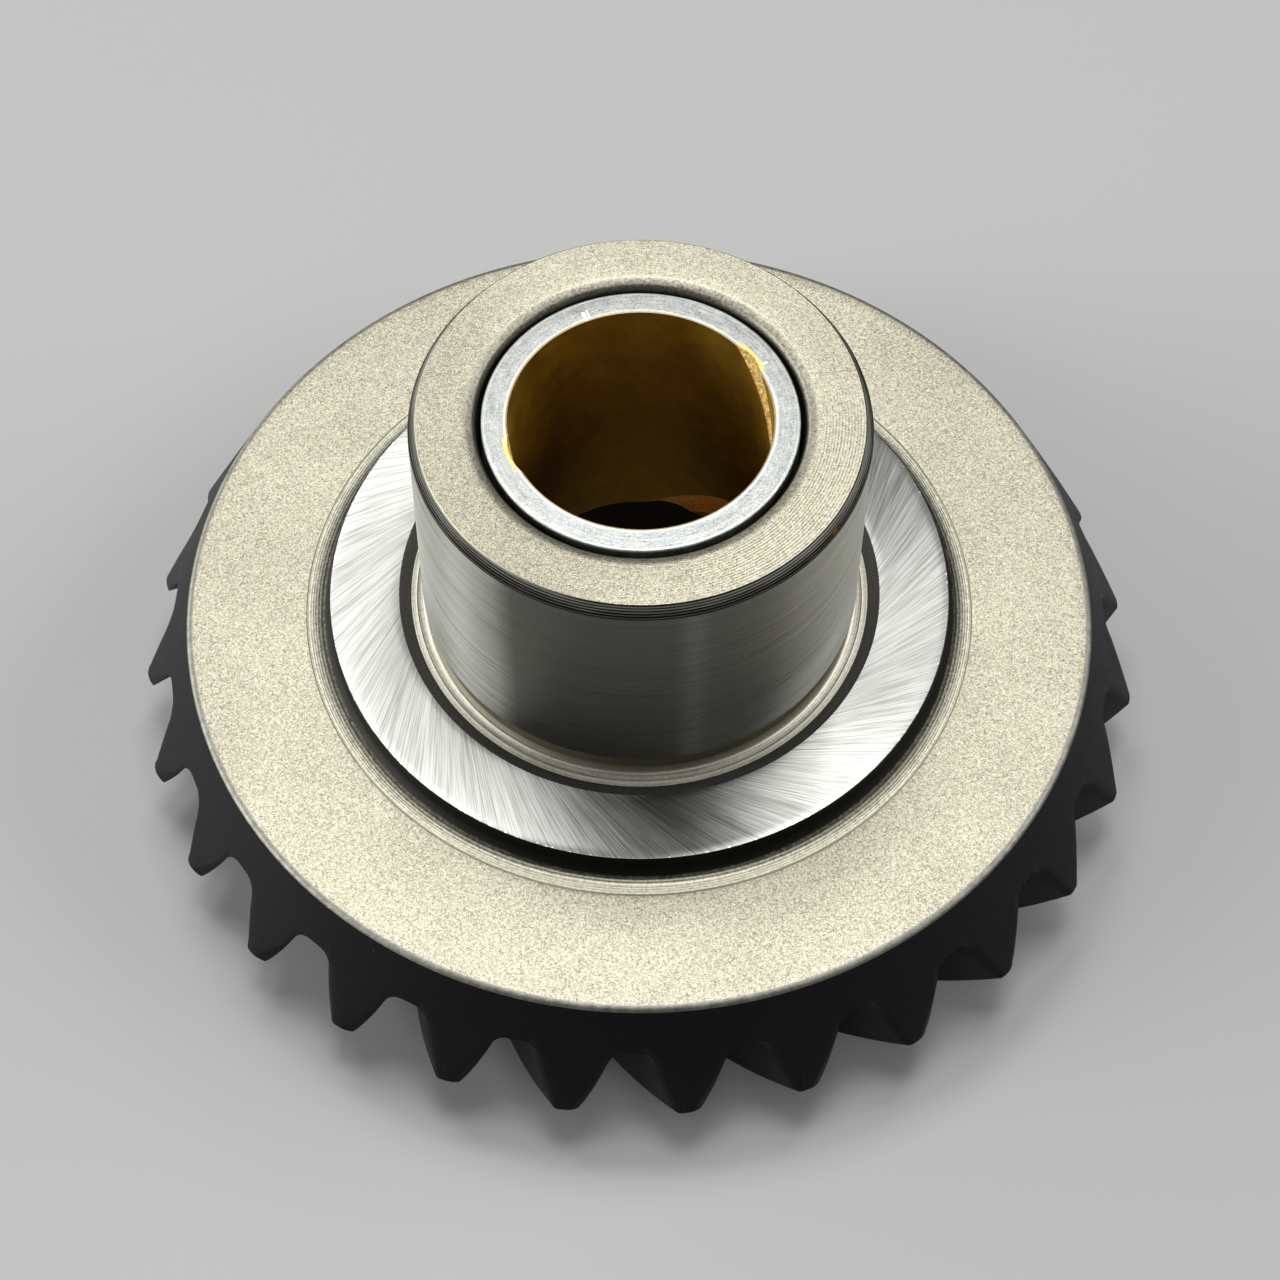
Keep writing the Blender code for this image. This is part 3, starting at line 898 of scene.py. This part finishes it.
def ground_land(band):
    middle = (land_radii[band] + land_radii[band + 1]) / 2
    lean = math.asin(SCRATCH_CIRCLE / middle) / math.tau
    f = Finish(LAND_NAMES[band], Metallic=1.0, Anisotropic=1.0, Anisotropic_Rotation=lean)
    scratch = f.turn + f.x.math("ARCSINE", SCRATCH_CIRCLE / f.radius)
    along = f.radius * 0.12
    broad = f.noise(f.around(scratch, 14.0, along, 0.0), 1.0, 3.0, 0.65)
    fine = f.noise(f.around(scratch, 190.0, along * 2.0, 0.0), 1.0, 2.0, 0.7)
    lone = f.noise(f.around(scratch, 45.0, along * 4.0, 3.0), 1.0, 1.0, 0.5).above(1.25, 0.3)
    shade = 0.5 + broad * 0.16 + fine * 0.7 + lone * 0.3
    colour = f.mix(shade.clamped(), (0.15, 0.153, 0.14), (0.43, 0.437, 0.41))
    chip = f.noise(f.place, 2.6, 1.0, 0.5).above(0.65, 0.2) * f.radius.above(24.93, 0.06)
    colour = f.mix(chip, colour, (0.95, 0.95, 0.93))
    return f.finish(colour, 0.33 + fine * 0.05, broad * 0.4 + fine * 0.6 + lone * 0.4, 0.0016)


for band in range(LAND_BANDS):
    ground_land(band)
print("scratches lean", [round(math.degrees(math.asin(SCRATCH_CIRCLE / r))) for r in land_radii])

# %% [markdown]
# The bearing seat was ground round and round, so its lay is level. Its front mirrors the dark room
# on the camera's side, with one lighter upright stripe. The table here is pale and would light the
# front up again, so that dark reflection is painted into the metal's colour there, and the lighter
# stripe is left as a painted reflection.

# %% Ground hub
PAINTED_FRONT_STARTS, PAINTED_FRONT_ENDS, PAINTED_STRIPE_AT = -2.18, -0.9, -1.335


def ground_hub():
    f = Finish("ground_hub", Metallic=1.0, Anisotropic=1.0, Anisotropic_Rotation=0.25)
    lines = f.noise(f.around(f.turn, 0.7, 0.0, f.z * 5.0), 1.0, 4.0, 0.75)
    fine = f.noise(f.around(f.turn, 2.5, 0.0, f.z * 22.0), 1.0, 2.0, 0.6)
    slant = f.turn * 14.0 + f.z * 1.3
    scratch = f.noise(f.combine(slant, f.z * 0.35, f.turn * 2.0), 1.0, 1.0, 0.5).above(1.5, 0.12)
    shade = 0.5 + lines * 0.42 + fine * 0.4 + scratch * 0.3
    colour = f.mix(shade.clamped(), (0.19, 0.194, 0.178), (0.475, 0.48, 0.445))
    # painted reflection: the front is made darker, and a lighter upright stripe is left in it
    stripe = f.turn.band(PAINTED_STRIPE_AT, 0.02, 0.06)
    front = f.turn.above(PAINTED_FRONT_STARTS, 0.1) * (1.0 - f.turn.above(PAINTED_FRONT_ENDS, 0.8))
    colour = f.mix(front * (1.0 - stripe * 0.35) * 0.75, colour, (0.105, 0.107, 0.10))
    return f.finish(colour, 0.29 + lines * 0.03, lines * 0.5 + fine * 0.4 + scratch * 0.2, 0.0022)


ground_hub()
print("the stripe is at", round(math.degrees(PAINTED_STRIPE_AT)) % 360, "degrees")

# %% [markdown]
# A turning tool leaves fine rings in whatever it cuts. The bevel inside the land, the undercut
# beside the hub and the line where the rim meets the cove were turned and not touched again, so
# they stay dull and dark. One function gives all three, with their own colours and pitch.

# %% Turned steel
def turned_steel(name, dark, light, rough, pitch, contrast):
    f = Finish(name, Metallic=1.0)
    rings = f.rings(pitch)
    uneven = f.noise(f.around(f.turn, 3.0, f.radius * 5.0, f.z * 5.0), 1.0, 3.0, 0.6)
    grain = f.noise(f.place, 4.5, 2.0, 0.5)
    shade = 0.5 + rings * contrast + uneven * 0.2 + grain * 0.12
    colour = f.mix(shade.clamped(), dark, light)
    return f.finish(colour, rough + uneven * 0.04, rings * 0.6 + grain * 0.2, 0.012)


turned_steel("turned_dark", (0.018, 0.018, 0.014), (0.10, 0.098, 0.087), 0.6, 0.15, 0.2)
turned_steel("groove_line", (0.19, 0.182, 0.145), (0.36, 0.345, 0.28), 0.6, 0.2, 0.1)
turned_steel("undercut", (0.085, 0.08, 0.055), (0.24, 0.225, 0.17), 0.6, 0.2, 0.15)

# %% [markdown]
# The foot of the hub is a narrow pale ring with a small lip at each edge, which the lathe left.
# A bright line along each lip is a painted highlight, where the rounded lip catches the light.

# %% Foot of the hub
OUTER_LIP, INNER_LIP = 18.1, 17.46


def foot_ring():
    f = Finish("turned", Metallic=1.0)
    uneven = f.noise(f.around(f.turn, 3.0, f.radius * 5.0, f.z * 5.0), 1.0, 3.0, 0.6)
    grain = f.noise(f.place, 4.5, 2.0, 0.5)
    # painted highlight: a bright line along each lip
    lip_and_painted_highlight = f.radius.band(OUTER_LIP, 0.06, 0.08) * 0.42 + f.radius.band(INNER_LIP, 0.06, 0.06) * 0.75
    shade = 0.4 + lip_and_painted_highlight * 0.75 + f.rings(0.17) * 0.1 + uneven * 0.14 + grain * 0.12
    colour = f.mix(shade.clamped(), (0.10, 0.095, 0.073), (0.66, 0.64, 0.54))
    return f.finish(colour, 0.5 + uneven * 0.04, lip_and_painted_highlight * 0.3 + grain * 0.2, 0.012)


foot_ring()

# %% [markdown]
# The cove leads from the rim to the land's wall. It is as pale as the rim where it runs out, and
# nearly black in the corner under the wall. A concave corner sees little but itself, so that
# darkness is painted shade: a darker metal, which reaches further out on the left and right than
# in front.

# %% Cove
PAINTED_SHADE_TO = 25.62


def cove_steel():
    f = Finish("cove", Metallic=1.0)
    rings = f.rings(0.19)
    grain = f.noise(f.place, 4.0, 2.0, 0.5)
    beside = f.x.math("ABSOLUTE", f.x / f.radius).above(0.6, 0.8)
    # painted shade: the cove is made nearly black towards the wall, further out at the sides
    out_of_painted_shade = (f.radius - PAINTED_SHADE_TO) / (0.62 + beside * 0.9) + rings * 0.08 + grain * 0.1
    out_of_painted_shade = out_of_painted_shade.clamped()
    shade = 0.52 + rings * (0.4 - out_of_painted_shade * (0.28 - beside * 0.2)) + grain * 0.3
    bright = f.mix(shade.clamped(), (0.22, 0.21, 0.16), (0.60, 0.58, 0.465))
    colour = f.mix(out_of_painted_shade**1.3, (0.017, 0.017, 0.014), bright)
    return f.finish(colour, 0.5 + grain * 0.04, rings * 0.6 + grain * 0.3, 0.014)


cove_steel()

# %% [markdown]
# Where the hub's end turns down into the bore, the blasting fades into a painted shade, a dark
# ring round the bush that darkens with depth.
# On its outside the hub ends in a lead-in for the bearing, turned in five coarse ridges with dark
# oxide between them. Their top line is painted pale on the left, a painted highlight, and there is
# one small spot of rust.

# %% Mouth of the bore
def bore_mouth():
    f = Finish("bore_mouth", Metallic=1.0)
    grain = f.noise(f.place, 4.4, 2.0, 0.6)
    # painted shade: the mouth is made darker with depth, down to near black
    painted_shade_with_depth = ((HUB_TOP - 0.04 - f.z) / 0.8 + grain * 0.04).clamped()
    pale = f.mix((0.5 + grain * 0.5).clamped(), (0.15, 0.142, 0.106), (0.52, 0.50, 0.40))
    colour = f.mix(painted_shade_with_depth**0.8, pale, (0.009, 0.009, 0.008))
    return f.finish(colour, 0.5 + grain * 0.04, grain, 0.008)


bore_mouth()

# %% Lead-in of the hub
RUST_SPOT = (14.22, -9.74, 39.84)


def hub_lead():
    f = Finish("hub_lead", Metallic=1.0)
    wobble = f.noise(f.around(f.turn, 1.5, 0.0, f.z), 1.0, 2.0, 0.5)
    phase = f.z * (math.tau / 0.19) + wobble * 0.7
    ridge = phase.math("SINE", phase)
    uneven = f.noise(f.around(f.turn, 5.0, 0.0, f.z * 7.0), 1.0, 3.0, 0.6)
    shade = 0.38 + ridge * 0.55 + uneven * 0.3
    colour = f.mix(shade.clamped(), (0.006, 0.006, 0.005), (0.15, 0.148, 0.127))
    # painted highlight: the top line of the lead-in is made pale on the left
    painted_edge_tone = f.z.above(HUB_TOP - 0.12, 0.06) * (-f.x / f.radius).above(0.4, 0.35)
    colour = f.mix(painted_edge_tone * 0.8, colour, (0.55, 0.53, 0.44))
    colour = f.mix(f.spot(RUST_SPOT, 0.42), colour, (0.095, 0.038, 0.012))
    return f.finish(colour, 0.55 + uneven * 0.04, ridge * 0.5 + uneven * 0.3, 0.012)


hub_lead()

# %% [markdown]
# The teeth and the outer face are hardened and blackened: a thin dull oxide that takes very
# little light, with a faint cloud in it and a few specks of pale dust. The broken edges of the
# teeth are given a little lighter colour, a painted sheen where the edges catch the light.

# %% Blackened steel
def blackened_steel(name, lift, rough, ior):
    f = Finish(name, Metallic=0.0, IOR=ior)
    cloud = f.noise(f.place, 0.35, 3.0, 0.55)
    grain = f.noise(f.place, 5.0, 3.0, 0.6)
    speck = f.noise(f.place, 1.7, 1.0, 0.5).above(1.3, 0.08)
    shade = (0.5 + cloud * 0.2 + grain * 0.15).clamped()
    dark = (0.0006 * lift, 0.0006 * lift, 0.0007 * lift)
    light = (0.0024 * lift, 0.0024 * lift, 0.0024 * lift)
    colour = f.mix(shade, dark, light)
    colour = f.mix(speck * 0.6, colour, (0.2, 0.19, 0.17))
    return f.finish(colour, rough + cloud * 0.04, grain, 0.006)


blackened_steel("blackened", 1.0, 0.5, 1.24)
# painted sheen: the broken edges of the teeth get a lighter colour
blackened_steel("burnished", 1.5, 0.48, 1.2)
print("gear:", [m.name for m in gear.data.materials])

# %% [markdown]
# The bore's lining has gone a deep olive gold, blotched by oil, with a thin dull edge at the top.
# It loses light on the way down, and is given a darker, redder bronze there. The oil grooves were
# cut later, so their surface is paler and rougher. They glow where light falls along them, and a
# half-metallic colour that also scatters light does the same from every side. Low in the bore
# the grooves are painted a brighter orange, a painted glint.

# %% Bronze lining
def bush_bronze():
    f = Finish("bush_bronze", Metallic=1.0)
    patch = f.noise(f.place, 0.45, 4.0, 0.6)
    lines = f.noise(f.around(f.turn, 2.0, 0.0, f.z * 9.0), 1.0, 3.0, 0.6)
    fine = f.noise(f.place, 4.5, 2.0, 0.6)
    shade = (0.5 + patch * 0.3 + lines * 0.12 + fine * 0.14).clamped()
    depth = ((BUSH_TOP - f.z) / 14.0).clamped()
    colour = f.mix(shade, (0.41, 0.25, 0.026), (0.76, 0.50, 0.07))
    colour = f.mix(depth, colour, f.mix(shade, (0.23, 0.125, 0.011), (0.50, 0.285, 0.028)))
    edge = f.z.above(BUSH_TOP - 0.1, 0.08)
    colour = f.mix(edge, colour, (0.24, 0.19, 0.10))
    return f.finish(colour, 0.48 + patch * 0.05, lines * 0.4 + fine * 0.3 + patch * 0.2, 0.006)


bush_bronze()

# %% Oil grooves
def bush_groove():
    f = Finish("bush_groove", Metallic=0.4)
    grain = f.noise(f.place, 4.2, 3.0, 0.65)
    shade = (0.48 + grain * 0.9).clamped()
    colour = f.mix(shade, (0.46, 0.23, 0.045), (1.0, 0.78, 0.32))
    # painted glint: the grooves are made brighter and more orange low in the bore
    painted_glint_low = 1.0 - f.z.above(BUSH_LOW + 8.0, 6.0)
    colour = f.mix(painted_glint_low, colour, f.mix(shade, (0.90, 0.36, 0.04), (1.0, 0.70, 0.22)))
    return f.finish(colour, 0.55 + grain * 0.05, grain, 0.014)


bush_groove()

# %% [markdown]
# The bush's steel end was faced with a fine feed and stays bright, with pits and stains and a
# lighter band along both edges. Bronze shows in a yellow fringe where each groove runs out. Two
# burrs and a short scratch, as in the photograph, finish it.

# %% Steel end of the bush
def bush_back():
    f = Finish("bush_back", Metallic=1.0)
    rings = f.noise(f.around(f.turn, 4.0, f.radius * 6.0, 0.0), 1.0, 3.0, 0.65)
    stain = f.noise(f.place, 1.3, 3.0, 0.6)
    fine = f.noise(f.place, 6.0, 2.0, 0.6)
    pits = f.noise(f.place, 3.2, 1.0, 0.5).above(1.35, 0.25)
    shade = 0.52 + rings * 0.28 + stain * 0.24 + fine * 0.34 - pits * 0.4
    colour = f.mix(shade.clamped(), (0.145, 0.152, 0.147), (0.445, 0.458, 0.44))
    edges = f.radius.band(10.24, 0.06, 0.08) + f.radius.band(11.84, 0.05, 0.08)
    colour = f.mix(edges * 0.4, colour, (0.60, 0.61, 0.58))
    for mouth, _ in GROOVES:
        place = (10.2 * math.cos(mouth), 10.2 * math.sin(mouth), BUSH_TOP)
        fringe = f.spot(place, 1.9) * f.radius.band(10.2, 0.28, 0.14)
        colour = f.mix((fringe * 1.6).clamped(), colour, (0.56, 0.45, 0.15))
    burr = f.stroke(112.7, 10.6, 0.38, 0.03) + f.stroke(114.4, 10.46, 0.42, 0.09)
    scratch = f.stroke(29.4, 10.76, 0.1, 0.05)
    colour = f.mix((burr + scratch).clamped(), colour, (0.95, 0.95, 0.93))
    return f.finish(colour, 0.5 + stain * 0.05, rings * 0.5 + fine * 0.4 - pits * 0.5, 0.008)


bush_back()
print("bush:", [m.name for m in bush.data.materials])

# %% [markdown]
# The set is simple: a pale table and soft lamps. The table is a plain grid with a faint cloud in
# its colour, so that nothing competes with the gear.

# %% Table
TABLE_HALF = 0.9


def table():
    shape = bmesh.new()
    bmesh.ops.create_grid(shape, x_segments=8, y_segments=8, size=TABLE_HALF)
    made = placed("table", shape)
    f = Finish("pale_table")
    cloud = f.noise(f.place, 0.02, 3.0, 0.5)
    colour = f.mix((0.5 + cloud * 0.1).clamped(), (0.27, 0.27, 0.267), (0.29, 0.29, 0.287))
    made.data.materials.append(f.finish(colour, 0.6 + cloud * 0.02, cloud, 0.01))
    return made


floor = table()

# %% [markdown]
# The ground surfaces decide where the lamps stand. A scratched surface is lit only from the plane
# across its scratches, so each sector of the land and of the hub points at one slice of the room.
# Most of the light comes from the left, from above and from behind, some from the right, and from
# the camera's side only a narrow weak strip, which leaves the front of the hub and of the teeth
# dark. The hub's front is darkened further by a painted reflection in its colour.

# %% Lamps
LAMP_DISTANCE = 1.3


def lamp(name, azimuth, elevation, wide, high, radiance):
    """A soft rectangular lamp that faces the gear, placed and sized by the angles it fills.

    The azimuth is counter-clockwise from the gear's right, seen from above.
    """
    data = bpy.data.lights.new(name, "AREA")
    data.shape = "RECTANGLE"
    data.size = 2 * LAMP_DISTANCE * math.tan(math.radians(wide) / 2)
    data.size_y = 2 * LAMP_DISTANCE * math.tan(math.radians(high) / 2)
    data.energy = radiance * math.pi * data.size * data.size_y
    made = bpy.data.objects.new(name, data)
    scene.collection.objects.link(made)
    turn, lift = math.radians(azimuth), math.radians(elevation)
    level = math.cos(lift)
    direction = Vector((math.cos(turn) * level, math.sin(turn) * level, math.sin(lift)))
    made.location = direction * LAMP_DISTANCE + Vector((0, 0, 0.01))
    made.rotation_euler = direction.to_track_quat("Z", "Y").to_euler()
    made.visible_camera = False
    return made


lamp("left_window", 161.9, 14.2, 69.4, 22.8, 7.0)
lamp("left_lamp", 194.7, 25.4, 22.7, 37.7, 6.4)
lamp("back_lamp", 118.3, 62.4, 23.6, 8.9, 17.8)
lamp("back_right_lamp", 65.7, 64.9, 14.1, 13.8, 12.6)
lamp("right_lamp", 6.6, 37.6, 52.1, 14.0, 9.2)
lamp("top_lamp", 79.7, 84.5, 17.3, 14.8, 15.8)
lamp("front_strip", 297.0, 38.0, 2.5, 50.0, 3.0)
world = bpy.data.worlds.new("room")
world.use_nodes = True
world.node_tree.nodes["Background"].inputs["Color"].default_value = (0.9, 0.93, 1.0, 1.0)
world.node_tree.nodes["Background"].inputs["Strength"].default_value = 0.02
scene.world = world
scene.view_settings.view_transform = "Standard"

# %% [markdown]
# Last, each piece is tied to the packed model: it rides on the root body, and the faceted solid
# that it stands for is hidden.

# %% Tie the pieces to the packed model
for piece, slot, node in ((gear, "blackened_steel", "gear"), (bush, "bronze_lining", "bush")):
    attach(piece, "root")
    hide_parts(node)
bpy.context.view_layer.update()
